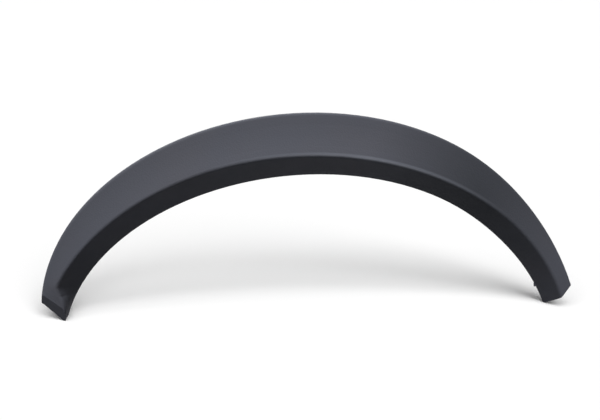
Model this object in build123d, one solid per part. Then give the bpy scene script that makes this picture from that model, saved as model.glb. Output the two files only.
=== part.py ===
"""Wheel arch trim: one moulded strip of plastic that frames the upper half of a wheel opening.

The trim stands as it is worn: X runs along the vehicle, Z is up, the outer face looks to -Y and the
plane Y = 0 is the body panel that the rim closes against. Z = 0 is the level of the two tips.
"""
from build123d import *
import os
from math import cos, hypot, radians, sin, sqrt, tan

# Side outline: three ellipses with centres of their own, so the face is widest at the crown
RIM_HALF_WIDTH = 421.6
RIM_HALF_HEIGHT = 308.0
RIM_CENTRE_X = -18.9
RIM_CENTRE_Z = 28.2
RIM_TILT = 3.7
FOLD_HALF_WIDTH = 443.5
FOLD_HALF_HEIGHT = 341.7
FOLD_CENTRE_X = -4.8
FOLD_CENTRE_Z = -71.2
FOLD_TILT = 0.0
LIP_HALF_WIDTH = 393.0
LIP_HALF_HEIGHT = 265.5
LIP_CENTRE_X = -16.2
LIP_CENTRE_Z = -36.4
LIP_TILT = 4.6

# Section: a short return at the rim, the face, the fold and the lip that turns into the wheel arch
WALL = 2.8
RIM_RETURN = 10.0
FOLD_DEPTH_CROWN = 31.5
FOLD_DEPTH_FOOT = 14.0
LIP_DEPTH = 30.0
RIM_RADIUS = 3.5
FOLD_RADIUS = 6.0
HOLLOW_RADIUS = 200.0
PANEL_GAP = 0.6

# Right foot: rim and lip swing out over their last degrees and the end is cut square to the body
RIM_TOE_START = 38.6
RIM_TOE_OUT = 54.3
LIP_TOE_START = 30.9
LIP_TOE_OUT = 30.1
TOE_EASE = 2.5
RIGHT_END_X = 405.6
RIGHT_END_SLOPE = 50.7

# Left foot: the fold turns at a knee towards the lip, a bevel closes the end and the tip is rounded
KNEE_ANGLE = 171.8
TOE_TIP_X = -399.6
TOE_TIP_Z = 20.5
KNEE_BLEND = 4.0
KNEE_FADE = 40.0
LEFT_END_X = -406.9
LEFT_END_SLOPE = 43.8
LEFT_BEVEL = 36.5
TIP_ROUND = 6.5

# Loft stations, in degrees about the Y axis from +X, with a run of their own round the knee
FIRST_STATION = -5.0
LAST_STATION = 186.0
KNEE_REACH = 2.0
ARCH_SPANS = 17
KNEE_SPANS = 8
TOE_SPANS = 4

# Clip towers behind the face, in pairs either side of the middle
CLIP_ANGLES = (14.0, 37.0, 57.0)
CLIP_ABOVE_FOLD = 19.0
CLIP_SEAT_DEPTH = 6.0
CLIP_HOLE = 8.0
TOWER_LENGTH = 22.0
TOWER_HEIGHT = 16.0
TOWER_WALL = 1.8
TOWER_ROOF = 2.4

# Gussets in the corner behind the fold
GUSSET_ANGLES = (-74.0, -66.0, -47.0, -26.0, 0.0, 26.0, 47.0, 66.0, 76.0)
GUSSET_THICK = 2.0
GUSSET_ON_FACE = 15.0
GUSSET_ON_LIP = 22.0

# Locating nib on the rear edge of the lip above the right foot
NIB_ANGLE = 4.8
NIB_LENGTH = 6.0
NIB_REACH = 2.2

# Reach of construction solids past what they cut
OVERSIZE = 60.0


def ellipse_reach(
    half_width: float, half_height: float, centre_x: float, centre_z: float, tilt: float, angle: float
) -> float:
    """Distance from the Y axis to a tilted ellipse along a ray at this angle."""
    run = cos(radians(angle - tilt))
    rise = sin(radians(angle - tilt))
    along = centre_x * cos(radians(tilt)) + centre_z * sin(radians(tilt))
    across = centre_z * cos(radians(tilt)) - centre_x * sin(radians(tilt))
    a = (run / half_width) ** 2 + (rise / half_height) ** 2
    b = run * along / half_width**2 + rise * across / half_height**2
    c = (along / half_width) ** 2 + (across / half_height) ** 2 - 1
    return (b + sqrt(b * b - a * c)) / a


def toe_swing(start: float, out: float, angle: float) -> float:
    """How far a curve has swung out towards the right foot."""
    return out * (max(0.0, start - angle) / start) ** TOE_EASE


def rim_reach(angle: float) -> float:
    """Rim radius, with the right foot swung out."""
    arch = ellipse_reach(RIM_HALF_WIDTH, RIM_HALF_HEIGHT, RIM_CENTRE_X, RIM_CENTRE_Z, RIM_TILT, angle)
    return arch + toe_swing(RIM_TOE_START, RIM_TOE_OUT, angle)


def lip_reach(angle: float) -> float:
    """Radius of the lip's rear edge, with the right foot swung out."""
    arch = ellipse_reach(LIP_HALF_WIDTH, LIP_HALF_HEIGHT, LIP_CENTRE_X, LIP_CENTRE_Z, LIP_TILT, angle)
    return arch + toe_swing(LIP_TOE_START, LIP_TOE_OUT, angle)


def fold_ellipse_reach(angle: float) -> float:
    """Fold radius over the arch."""
    size = (FOLD_HALF_WIDTH, FOLD_HALF_HEIGHT)
    return ellipse_reach(*size, FOLD_CENTRE_X, FOLD_CENTRE_Z, FOLD_TILT, angle)


def toe_line_reach(angle: float) -> float:
    """Radius of the straight line that the fold follows below the left knee."""
    knee_x = cos(radians(KNEE_ANGLE)) * fold_ellipse_reach(KNEE_ANGLE)
    knee_z = sin(radians(KNEE_ANGLE)) * fold_ellipse_reach(KNEE_ANGLE)
    along_x = TOE_TIP_X - knee_x
    along_z = TOE_TIP_Z - knee_z
    offset = knee_x * along_z - knee_z * along_x
    return offset / (cos(radians(angle)) * along_z - sin(radians(angle)) * along_x)


def fold_reach(angle: float) -> float:
    """Fold radius: the ellipse, or the toe line where that lies nearer, with a soft knee between."""
    arch = fold_ellipse_reach(angle)
    if angle < KNEE_ANGLE - KNEE_FADE:
        return arch
    toe = toe_line_reach(angle)
    nearer = (arch + toe - hypot(arch - toe, KNEE_BLEND)) / 2
    least = lip_reach(angle) + WALL
    return (nearer + least + hypot(nearer - least, KNEE_BLEND)) / 2


def fold_depth(angle: float) -> float:
    """How far the fold stands off the body panel."""
    return FOLD_DEPTH_FOOT + (FOLD_DEPTH_CROWN - FOLD_DEPTH_FOOT) * max(0.0, sin(radians(angle)))


def inward(start: Vector, end: Vector) -> Vector:
    """Unit normal of a section line, towards the hollow side."""
    along = (end - start).normalized()
    return Vector(along.Y, -along.X)


def mitre(before: Vector, corner: Vector, after: Vector, inset: float) -> Vector:
    """Corner of the section moved in by the same distance from both of its lines."""
    first = inward(before, corner)
    second = inward(corner, after)
    return corner + (first + second) * (inset / (1 + first.dot(second)))


def profile(angle: float, inset: float) -> list:
    """Points rim, front edge, hollow, fold and lip of the section, moved in from the outer skin."""
    rim = Vector(rim_reach(angle), 0)
    edge = Vector(rim_reach(angle), -RIM_RETURN)
    fold = Vector(fold_reach(angle), -fold_depth(angle))
    lip = Vector(lip_reach(angle), LIP_DEPTH)
    inner_edge = mitre(rim, edge, fold, inset)
    inner_fold = mitre(edge, fold, lip, inset)
    half = (inner_fold - inner_edge).length / 2
    hollow = (inner_edge + inner_fold) * 0.5 + inward(edge, fold) * (half**2 / (2 * HOLLOW_RADIUS))
    inner_lip = lip + Vector(inset / inward(fold, lip).X, 0)
    return [rim - Vector(inset, 0), inner_edge, hollow, inner_fold, inner_lip]


def section_plane(angle: float) -> Plane:
    """Plane through the Y axis: local x runs outwards along the ray and local y is the part's Y."""
    ray = Vector(cos(radians(angle)), 0, sin(radians(angle)))
    return Plane(origin=(0, 0, 0), x_dir=ray, z_dir=(-ray.Z, 0, ray.X))


def wall_section(angle: float) -> Sketch:
    """The moulded wall: rounded at the rim and the fold outside, with sharp corners inside."""
    points = profile(angle, 0) + profile(angle, WALL)[::-1]
    outer = [0, RIM_RADIUS, HOLLOW_RADIUS, FOLD_RADIUS, 0]
    inner = [0, 0, HOLLOW_RADIUS, 0, 0]
    outline = FilletPolyline(*points, radius=outer + inner[::-1], close=True)
    return section_plane(angle) * make_face(outline)


def pocket_section(angle: float) -> Sketch:
    """The space between the trim and the body panel, out to the middle of the wall."""
    rim, edge, hollow, fold, lip = profile(angle, WALL / 2)
    rim = rim - Vector(0, PANEL_GAP)
    along = lip - fold
    sill = fold + along * ((rim.Y - fold.Y) / along.Y)
    corners = [0, 0, HOLLOW_RADIUS, 0, 0]
    outline = FilletPolyline(rim, edge, hollow, fold, sill, radius=corners, close=True)
    return section_plane(angle) * make_face(outline)


def lofts(section, marks: tuple, spans: tuple) -> list:
    """Lofts through evenly spaced sections, one from each mark to the next."""
    runs = []
    for start, stop, count in zip(marks, marks[1:], spans):
        angles = [start + (stop - start) * step / count for step in range(count + 1)]
        runs.append(loft([section(angle) for angle in angles]))
    return runs


def end_plane(side: int, ground_x: float, slope: float) -> Plane:
    """Plane square to the body that meets the ground here, with its normal pointing off the part."""
    off_part = Vector(side * sin(radians(slope)), 0, -cos(radians(slope)))
    return Plane(origin=(ground_x, 0, 0), z_dir=off_part)


def bevel_plane() -> Plane:
    """Plane that leaves the body panel on the left end's line and leans back over the face."""
    square = end_plane(-1, LEFT_END_X, LEFT_END_SLOPE)
    lean = radians(LEFT_BEVEL)
    return Plane(origin=square.origin, z_dir=square.z_dir * sin(lean) + Vector(0, -cos(lean), 0))


def tip_cutter() -> Part:
    """Cutter that rounds the left tip to a radius that stands on the ground and runs into the end."""
    centre = Vector(LEFT_END_X + TIP_ROUND * tan(radians(LEFT_END_SLOPE) / 2), TIP_ROUND)
    to_end = Vector(-sin(radians(LEFT_END_SLOPE)), -cos(radians(LEFT_END_SLOPE))) * OVERSIZE
    rear_edge = [Vector(1, 0).rotate(Axis.Z, angle) * lip_reach(angle) for angle in (KNEE_ANGLE, 180)]
    to_lip = (rear_edge[1] - rear_edge[0]).normalized().rotate(Axis.Z, 90) * OVERSIZE
    corners = (centre, centre + to_end, centre + to_end + to_lip, centre + to_lip)
    outline = make_face(Polyline(*corners, close=True)) - Pos(centre) * Circle(TIP_ROUND)
    return extrude(Plane.XZ * outline, OVERSIZE, both=True)


def end_wall(pocket: Part, plane: Plane) -> Part:
    """Wall that closes the pocket just inside an end plane."""
    near_end = split(pocket, bisect_by=plane.offset(-WALL), keep=Keep.TOP)
    return split(near_end, bisect_by=plane, keep=Keep.BOTTOM)


def clip_towers(pocket: Part) -> list:
    """Roofed towers behind the face, each open at one end, with a hole in its roof for a clip."""
    on_roof = (Align.CENTER, Align.CENTER, Align.MIN)
    block = Box(TOWER_HEIGHT, TOWER_LENGTH, OVERSIZE, align=on_roof)
    room = Box(TOWER_HEIGHT - 2 * TOWER_WALL, TOWER_LENGTH, OVERSIZE, align=on_roof)
    tower = block - Pos(0, TOWER_WALL, TOWER_ROOF) * room - Cylinder(CLIP_HOLE / 2, 2 * TOWER_LENGTH)
    towers = []
    for lean in CLIP_ANGLES:
        reach = fold_reach(90 - lean) + CLIP_ABOVE_FOLD
        ray = Vector(sin(radians(lean)), 0, cos(radians(lean)))
        seat = Plane(origin=ray * reach - Vector(0, CLIP_SEAT_DEPTH, 0), x_dir=ray, z_dir=(0, -1, 0))
        right = seat * tower
        towers += [right & pocket, mirror(right, about=Plane.YZ) & pocket]
    return towers


def gussets(pocket: Part) -> list:
    """Thin triangles that brace the face against the lip."""
    plates = []
    for lean in GUSSET_ANGLES:
        _, edge, _, fold, lip = profile(90 - lean, 0)
        on_face = fold + (edge - fold).normalized() * GUSSET_ON_FACE
        on_lip = fold + (lip - fold).normalized() * GUSSET_ON_LIP
        outline = section_plane(90 - lean) * make_face(Polyline(fold, on_face, on_lip, close=True))
        plates.append(extrude(outline, GUSSET_THICK / 2, both=True) & pocket)
    return plates


def nib() -> Part:
    """Small stop on the rear edge of the lip."""
    block = Box(NIB_REACH + WALL, WALL, NIB_LENGTH, align=(Align.MIN, Align.MAX, Align.CENTER))
    return section_plane(NIB_ANGLE) * Pos(lip_reach(NIB_ANGLE) - NIB_REACH, LIP_DEPTH, 0) * block


def arch_trim() -> Part:
    """The whole moulding: the wall cut to length, with end walls, towers, gussets and nib."""
    wall_marks = (FIRST_STATION, KNEE_ANGLE - KNEE_REACH, KNEE_ANGLE + KNEE_REACH, LAST_STATION)
    wall_spans = (ARCH_SPANS, KNEE_SPANS, TOE_SPANS)
    arch_wall, knee_wall, toe_wall = lofts(wall_section, wall_marks, wall_spans)
    pocket_marks = (FIRST_STATION, KNEE_ANGLE, LAST_STATION)
    arch_pocket, toe_pocket = lofts(pocket_section, pocket_marks, (ARCH_SPANS, TOE_SPANS))
    right = end_plane(1, RIGHT_END_X, RIGHT_END_SLOPE)
    left = end_plane(-1, LEFT_END_X, LEFT_END_SLOPE)
    bevel = bevel_plane()
    arch_wall = split(arch_wall, bisect_by=right, keep=Keep.BOTTOM)
    arch_wall = split(arch_wall, bisect_by=Plane.XY, keep=Keep.TOP)
    toe_wall = split(toe_wall, bisect_by=left, keep=Keep.BOTTOM)
    toe_wall = split(toe_wall, bisect_by=bevel, keep=Keep.BOTTOM) - tip_cutter()
    ends = [end_wall(arch_pocket, right), end_wall(toe_pocket, bevel) - tip_cutter()]
    ribs = clip_towers(arch_pocket) + gussets(arch_pocket)
    return arch_wall + [knee_wall, toe_wall] + ends + ribs + nib()


trim = arch_trim()
trim.label = "arch_trim"
os.makedirs("parts", exist_ok=True)
export_step(trim, "parts/arch_trim.step")
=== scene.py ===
"""Studio picture of a wheel arch trim: one grained charcoal moulding, standing on its feet on white paper.

The moulding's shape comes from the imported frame. This script gives it its finish, the ground that it stands
on, the light and the camera.
"""

import logging
import math
from dataclasses import dataclass, field
from enum import Enum

import bpy
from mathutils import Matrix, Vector


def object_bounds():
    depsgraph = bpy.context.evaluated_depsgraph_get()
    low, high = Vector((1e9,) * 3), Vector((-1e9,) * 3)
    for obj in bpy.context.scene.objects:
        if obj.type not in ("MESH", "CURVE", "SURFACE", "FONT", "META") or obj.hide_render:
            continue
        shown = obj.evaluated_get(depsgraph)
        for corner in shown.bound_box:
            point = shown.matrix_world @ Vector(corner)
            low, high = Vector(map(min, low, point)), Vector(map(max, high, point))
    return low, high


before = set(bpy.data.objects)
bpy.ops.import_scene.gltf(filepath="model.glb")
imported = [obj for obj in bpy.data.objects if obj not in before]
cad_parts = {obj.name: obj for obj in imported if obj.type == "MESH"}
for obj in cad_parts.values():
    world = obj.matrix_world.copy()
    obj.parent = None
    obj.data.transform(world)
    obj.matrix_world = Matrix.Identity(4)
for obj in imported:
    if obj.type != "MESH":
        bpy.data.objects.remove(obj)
cad_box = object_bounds()

log = logging.getLogger("arch_trim_scene")

MM = 0.001

# Input and output numbers of a colour Mix node, whose sockets share their names
MIX_FACTOR = 0
MIX_FIRST = 6
MIX_SECOND = 7
MIX_RESULT = 2

# A scale along Y so large that depth plays no part in a pattern
NO_DEPTH = 1000.0


class Lit(Enum):
    """What a lamp's light falls on."""

    TRIM = "trim"
    FLOOR = "floor"


class Ray(Enum):
    """Kinds of ray that see the studio as a white room, by their name on the Light Path node."""

    CAMERA = "Is Camera Ray"
    GLOSSY = "Is Glossy Ray"
    TRANSMISSION = "Is Transmission Ray"


def hex_to_linear(code: str) -> tuple[float, float, float, float]:
    """Turns an sRGB hex colour into the linear colour that shaders take.

    Args:
        code: Six hex digits with a leading hash.

    Returns:
        Linear red, green and blue, with an alpha of one.
    """
    channels = [int(code[i:i + 2], 16) / 255 for i in (1, 3, 5)]
    linear = [c / 12.92 if c <= 0.04045 else ((c + 0.055) / 1.055) ** 2.4 for c in channels]
    return (*linear, 1.0)


def per_metre(size_mm: float) -> float:
    """Texture scale at which one cell of a pattern is this many millimetres wide."""
    return 1 / (size_mm * MM)


def add_node(
    tree: bpy.types.NodeTree, kind: str, settings: dict | None = None, links: dict | None = None
) -> bpy.types.Node:
    """Adds a node, sets its properties and input values, and links its inputs.

    Args:
        tree: Node tree of a material or of the world.
        kind: Type name of the node.
        settings: Property names, or input names or numbers, with their values.
        links: Input names or numbers with the output sockets that feed them.

    Returns:
        The new node.
    """
    node = tree.nodes.new(kind)
    for key, value in (settings or {}).items():
        if isinstance(key, str) and key in node.bl_rna.properties:
            setattr(node, key, value)
        else:
            node.inputs[key].default_value = value
    for key, socket in (links or {}).items():
        tree.links.new(socket, node.inputs[key])
    return node


def white_room_mask(tree: bpy.types.NodeTree) -> bpy.types.NodeSocket:
    """Mask that is one for the rays that see a white room.

    Args:
        tree: Node tree that the mask is added to.

    Returns:
        Output socket of the mask.
    """
    path = add_node(tree, "ShaderNodeLightPath")
    mask = path.outputs[Ray.CAMERA.value]
    for ray in (Ray.GLOSSY, Ray.TRANSMISSION):
        either = add_node(
            tree, "ShaderNodeMath", {"operation": "MAXIMUM"}, {0: mask, 1: path.outputs[ray.value]}
        )
        mask = either.outputs[0]
    return mask


def new_material(name: str) -> bpy.types.Material:
    """Empty node material with this name."""
    material = bpy.data.materials.new(name)
    material.use_nodes = True
    material.node_tree.nodes.clear()
    return material


@dataclass(frozen=True)
class Patch:
    """A soft round patch on the trim, full at its centre and gone at its reach."""

    centre_mm: tuple[float, float, float]
    reach_mm: float

    def mask(self, tree: bpy.types.NodeTree, place: bpy.types.NodeSocket) -> bpy.types.NodeSocket:
        """Adds the patch to a material.

        Args:
            tree: Node tree of the material.
            place: Object coordinates.

        Returns:
            Output socket that falls from one to zero.
        """
        around = add_node(
            tree, "ShaderNodeMapping",
            {
                "vector_type": "TEXTURE",
                "Location": [mm * MM for mm in self.centre_mm],
                "Scale": [self.reach_mm * MM] * 3,
            },
            {"Vector": place},
        )
        fade = add_node(
            tree, "ShaderNodeTexGradient",
            {"gradient_type": "SPHERICAL"},
            {"Vector": around.outputs["Vector"]},
        )
        return fade.outputs["Fac"]


@dataclass(frozen=True)
class FoldBand:
    """A narrow band along the fold, which is an ellipse in the side view."""

    half_width_mm: float = 443.5
    half_height_mm: float = 341.7
    centre_x_mm: float = -4.8
    centre_z_mm: float = -71.2
    above_fold_mm: float = 2.2
    reach_mm: float = 4.5

    def mask(self, tree: bpy.types.NodeTree, place: bpy.types.NodeSocket) -> bpy.types.NodeSocket:
        """Adds the band to a material.

        Args:
            tree: Node tree of the material.
            place: Object coordinates.

        Returns:
            Output socket that is one in the middle of the band and zero off it.
        """
        around = add_node(
            tree, "ShaderNodeMapping",
            {
                "vector_type": "TEXTURE",
                "Location": (self.centre_x_mm * MM, 0, self.centre_z_mm * MM),
                "Scale": (self.half_width_mm * MM, NO_DEPTH, self.half_height_mm * MM),
            },
            {"Vector": place},
        )
        share = add_node(
            tree, "ShaderNodeVectorMath", {"operation": "LENGTH"}, {0: around.outputs["Vector"]}
        )
        middle = 1 + self.above_fold_mm / self.half_height_mm
        off = add_node(
            tree, "ShaderNodeMath", {"operation": "SUBTRACT", 1: middle}, {0: share.outputs["Value"]}
        )
        far = add_node(tree, "ShaderNodeMath", {"operation": "ABSOLUTE"}, {0: off.outputs[0]})
        band = add_node(
            tree, "ShaderNodeMapRange",
            {"From Max": self.reach_mm / self.half_height_mm, "To Min": 1.0, "To Max": 0.0},
            {"Value": far.outputs[0]},
        )
        return band.outputs["Result"]


@dataclass(frozen=True)
class MouldedPolypropylene:
    """Polypropylene injected against a grained steel tool.

    The eye sees a matte charcoal with a cool cast, a soft sheen that follows the form, and a grain too fine
    to count. The colour drifts a little where the melt flowed. The right shoulder is darkened with painted
    shade, and a painted highlight lies along the fold at the crown.
    """

    name: str = "moulded_grained_polypropylene"
    colour: str = "#4c4f58"
    warm_drift: str = "#505056"
    flow_mm: float = 110.0
    flow_detail: float = 2.0
    # Painted shade: a darker patch of colour on the right shoulder
    shoulder_shade: Patch = Patch((262.0, -20.0, 190.0), 190.0)
    shoulder_shade_colour: str = "#34363b"
    # Painted highlight: a lighter band of colour along the fold, strongest at the crown
    highlight_patch: Patch = Patch((90.0, -31.0, 265.0), 260.0)
    highlight_fold: FoldBand = FoldBand()
    highlight_colour: str = "#747780"
    roughness_low: float = 0.66
    roughness_high: float = 0.78
    polish_mm: float = 30.0
    polish_detail: float = 3.0
    ior: float = 1.49
    # The grain breaks up most of the gloss that smooth polypropylene has
    specular: float = 0.07
    # The tool's grain is about 0.4 mm: it is drawn coarser, or it wouldn't show
    grain_mm: float = 2.6
    grain_depth_mm: float = 0.2
    grain_strength: float = 0.9

    def make(self) -> bpy.types.Material:
        """Builds the material.

        Returns:
            The finished material.
        """
        material = new_material(self.name)
        tree = material.node_tree
        place = add_node(tree, "ShaderNodeTexCoord").outputs["Object"]
        flow = add_node(
            tree, "ShaderNodeTexNoise",
            {"Scale": per_metre(self.flow_mm), "Detail": self.flow_detail},
            {"Vector": place},
        )
        drift = add_node(
            tree, "ShaderNodeMix",
            {
                "data_type": "RGBA",
                MIX_FIRST: hex_to_linear(self.colour),
                MIX_SECOND: hex_to_linear(self.warm_drift),
            },
            {MIX_FACTOR: flow.outputs["Fac"]},
        )
        # Painted shade: the colour is darkened on the right shoulder
        shoulder_shaded = add_node(
            tree, "ShaderNodeMix",
            {"data_type": "RGBA", MIX_SECOND: hex_to_linear(self.shoulder_shade_colour)},
            {MIX_FACTOR: self.shoulder_shade.mask(tree, place), MIX_FIRST: drift.outputs[MIX_RESULT]},
        )
        # Painted highlight: the colour is lightened along the fold at the crown
        fold_highlight = add_node(
            tree, "ShaderNodeMath", {"operation": "MULTIPLY"},
            {0: self.highlight_patch.mask(tree, place), 1: self.highlight_fold.mask(tree, place)},
        )
        colour = add_node(
            tree, "ShaderNodeMix",
            {"data_type": "RGBA", MIX_SECOND: hex_to_linear(self.highlight_colour)},
            {MIX_FACTOR: fold_highlight.outputs[0], MIX_FIRST: shoulder_shaded.outputs[MIX_RESULT]},
        )
        polish = add_node(
            tree, "ShaderNodeTexNoise",
            {"Scale": per_metre(self.polish_mm), "Detail": self.polish_detail},
            {"Vector": place},
        )
        roughness = add_node(
            tree, "ShaderNodeMapRange",
            {"To Min": self.roughness_low, "To Max": self.roughness_high},
            {"Value": polish.outputs["Fac"]},
        )
        grain = add_node(
            tree, "ShaderNodeTexVoronoi",
            {"feature": "SMOOTH_F1", "Scale": per_metre(self.grain_mm)},
            {"Vector": place},
        )
        bump = add_node(
            tree, "ShaderNodeBump",
            {"Strength": self.grain_strength, "Distance": self.grain_depth_mm * MM},
            {"Height": grain.outputs["Distance"]},
        )
        shader = add_node(
            tree, "ShaderNodeBsdfPrincipled",
            {"IOR": self.ior, "Specular IOR Level": self.specular},
            {
                "Base Color": colour.outputs[MIX_RESULT],
                "Roughness": roughness.outputs["Result"],
                "Normal": bump.outputs["Normal"],
            },
        )
        add_node(tree, "ShaderNodeOutputMaterial", links={"Surface": shader.outputs["BSDF"]})
        return material


@dataclass(frozen=True)
class PaperSweep:
    """Seamless white paper: matte, white to the camera, with less light thrown back under the trim."""

    name: str = "matte_white_paper"
    seen: str = "#fdfdfd"
    thrown: str = "#525252"
    lift: float = 0.01

    def make(self) -> bpy.types.Material:
        """Builds the material.

        Returns:
            The finished material.
        """
        material = new_material(self.name)
        tree = material.node_tree
        mask = white_room_mask(tree)
        colour = add_node(
            tree, "ShaderNodeMix",
            {
                "data_type": "RGBA",
                MIX_FIRST: hex_to_linear(self.thrown),
                MIX_SECOND: hex_to_linear(self.seen),
            },
            {MIX_FACTOR: mask},
        )
        paper = add_node(tree, "ShaderNodeBsdfDiffuse", links={"Color": colour.outputs[MIX_RESULT]})
        lift = add_node(tree, "ShaderNodeMath", {"operation": "MULTIPLY", 1: self.lift}, {0: mask})
        glow = add_node(tree, "ShaderNodeEmission", links={"Strength": lift.outputs[0]})
        both = add_node(tree, "ShaderNodeAddShader", links={0: paper.outputs[0], 1: glow.outputs[0]})
        add_node(tree, "ShaderNodeOutputMaterial", links={"Surface": both.outputs[0]})
        return material


@dataclass
class ArchTrim:
    """The moulding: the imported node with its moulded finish."""

    node: str = "arch_trim"
    finish: MouldedPolypropylene = field(default_factory=MouldedPolypropylene)

    def dress(self) -> bpy.types.Object:
        """Gives the moulding its finish.

        Returns:
            The dressed object.
        """
        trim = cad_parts[self.node]
        trim.data.materials.clear()
        trim.data.materials.append(self.finish.make())
        log.info("%s dressed in %s", self.node, self.finish.name)
        return trim


def direction(azimuth_deg: float, elevation_deg: float) -> Vector:
    """Unit vector from the trim towards a place in the studio.

    Args:
        azimuth_deg: Zero is straight in front of the face, positive to the right.
        elevation_deg: Height above the floor.

    Returns:
        The unit vector.
    """
    turn = math.radians(azimuth_deg)
    rise = math.radians(elevation_deg)
    return Vector((math.sin(turn) * math.cos(rise), -math.cos(turn) * math.cos(rise), math.sin(rise)))


@dataclass
class Softbox:
    """A distant soft lamp, given by the direction that it stands in."""

    name: str
    azimuth_deg: float
    elevation_deg: float
    spread_deg: float
    strength: float
    lit: Lit

    def place(self, stand: dict[Lit, bpy.types.Object]) -> bpy.types.Object:
        """Adds the lamp.

        Args:
            stand: The trim and the floor, of which the lamp lights one.

        Returns:
            The lamp's object.
        """
        lamp = bpy.data.lights.new(self.name, "SUN")
        lamp.angle = math.radians(self.spread_deg)
        lamp.energy = self.strength
        holder = bpy.data.objects.new(self.name, lamp)
        bpy.context.scene.collection.objects.link(holder)
        towards = direction(self.azimuth_deg, self.elevation_deg)
        holder.rotation_euler = towards.to_track_quat("Z", "Y").to_euler()
        holder.location = towards
        receivers = bpy.data.collections.new(f"lit_by_{self.name}")
        receivers.objects.link(stand[self.lit])
        holder.light_linking.receiver_collection = receivers
        log.info("%s lights the %s", self.name, self.lit.value)
        return holder


@dataclass
class Studio:
    """White paper floor, soft lamps and a white room."""

    floor_half_m: float = 60.0
    room_colour: str = "#ffffff"
    # The room looks white, but throws little light
    room_seen: float = 1.0
    room_light: float = 0.05
    # Azimuth, elevation and spread in degrees, then strength and what is lit: the trim's own lamps give its
    # dark lip, and the floor's give the long shadow behind it
    lamps: tuple[Softbox, ...] = (
        Softbox("key_softbox", -20.0, 65.0, 30.0, 3.3, Lit.TRIM),
        Softbox("side_softbox", -26.0, 48.0, 32.0, 0.95, Lit.TRIM),
        Softbox("low_softbox", -16.0, 10.0, 30.0, 0.46, Lit.TRIM),
        Softbox("back_fill", 180.0, 28.0, 70.0, 2.3, Lit.TRIM),
        Softbox("right_floor_softbox", 14.0, 31.0, 26.0, 1.55, Lit.FLOOR),
        Softbox("front_floor_softbox", 5.0, 44.0, 35.0, 2.1, Lit.FLOOR),
        Softbox("left_floor_softbox", -29.0, 46.0, 36.0, 1.1, Lit.FLOOR),
    )

    def lay_floor(self) -> bpy.types.Object:
        """Lays the paper at the level of the tips.

        Returns:
            The floor's object.
        """
        bpy.ops.object.select_all(action="DESELECT")
        level = cad_box[0][2]
        bpy.ops.mesh.primitive_plane_add(size=2 * self.floor_half_m, location=(0, 0, level))
        floor = bpy.context.object
        floor.name = "paper_floor"
        bpy.ops.object.transform_apply(location=True, rotation=True, scale=True)
        floor.data.materials.append(PaperSweep().make())
        log.info("floor laid at %.4f m", level)
        return floor

    def light(self, stand: dict[Lit, bpy.types.Object]) -> None:
        """Sets the lamps and the room's own light.

        Args:
            stand: The trim and the floor, of which each lamp lights one.
        """
        for lamp in self.lamps:
            lamp.place(stand)
        world = bpy.data.worlds.new("white_room")
        bpy.context.scene.world = world
        world.use_nodes = True
        tree = world.node_tree
        tree.nodes.clear()
        strength = add_node(
            tree, "ShaderNodeMapRange",
            {"To Min": self.room_light, "To Max": self.room_seen},
            {"Value": white_room_mask(tree)},
        )
        room = add_node(
            tree, "ShaderNodeBackground",
            {"Color": hex_to_linear(self.room_colour)},
            {"Strength": strength.outputs["Result"]},
        )
        add_node(tree, "ShaderNodeOutputWorld", links={"Surface": room.outputs[0]})


@dataclass
class ProductCamera:
    """Camera in front of the face, a little above it and to its left."""

    azimuth_deg: float = -5.39
    elevation_deg: float = 12.0
    distance_m: float = 1.9582
    target_m: tuple[float, float, float] = (-0.018, 0.0, 0.177)
    lens_mm: float = 72.0
    sensor_mm: float = 36.0

    def place(self) -> bpy.types.Object:
        """Adds the camera and makes it the scene's own.

        Returns:
            The camera's object.
        """
        lens = bpy.data.cameras.new("product_camera")
        lens.lens = self.lens_mm
        lens.sensor_width = self.sensor_mm
        camera = bpy.data.objects.new("product_camera", lens)
        bpy.context.scene.collection.objects.link(camera)
        back = direction(self.azimuth_deg, self.elevation_deg)
        camera.location = Vector(self.target_m) + back * self.distance_m
        camera.rotation_euler = back.to_track_quat("Z", "Y").to_euler()
        bpy.context.scene.camera = camera
        log.info("camera %.2f m from the trim", self.distance_m)
        return camera


def main() -> None:
    """Dresses the trim and sets up the studio."""
    logging.basicConfig(level=logging.INFO)
    bpy.context.scene.view_settings.view_transform = "Standard"
    ProductCamera().place()
    trim = ArchTrim().dress()
    studio = Studio()
    floor = studio.lay_floor()
    studio.light({Lit.TRIM: trim, Lit.FLOOR: floor})


if __name__ == "__main__":
    main()
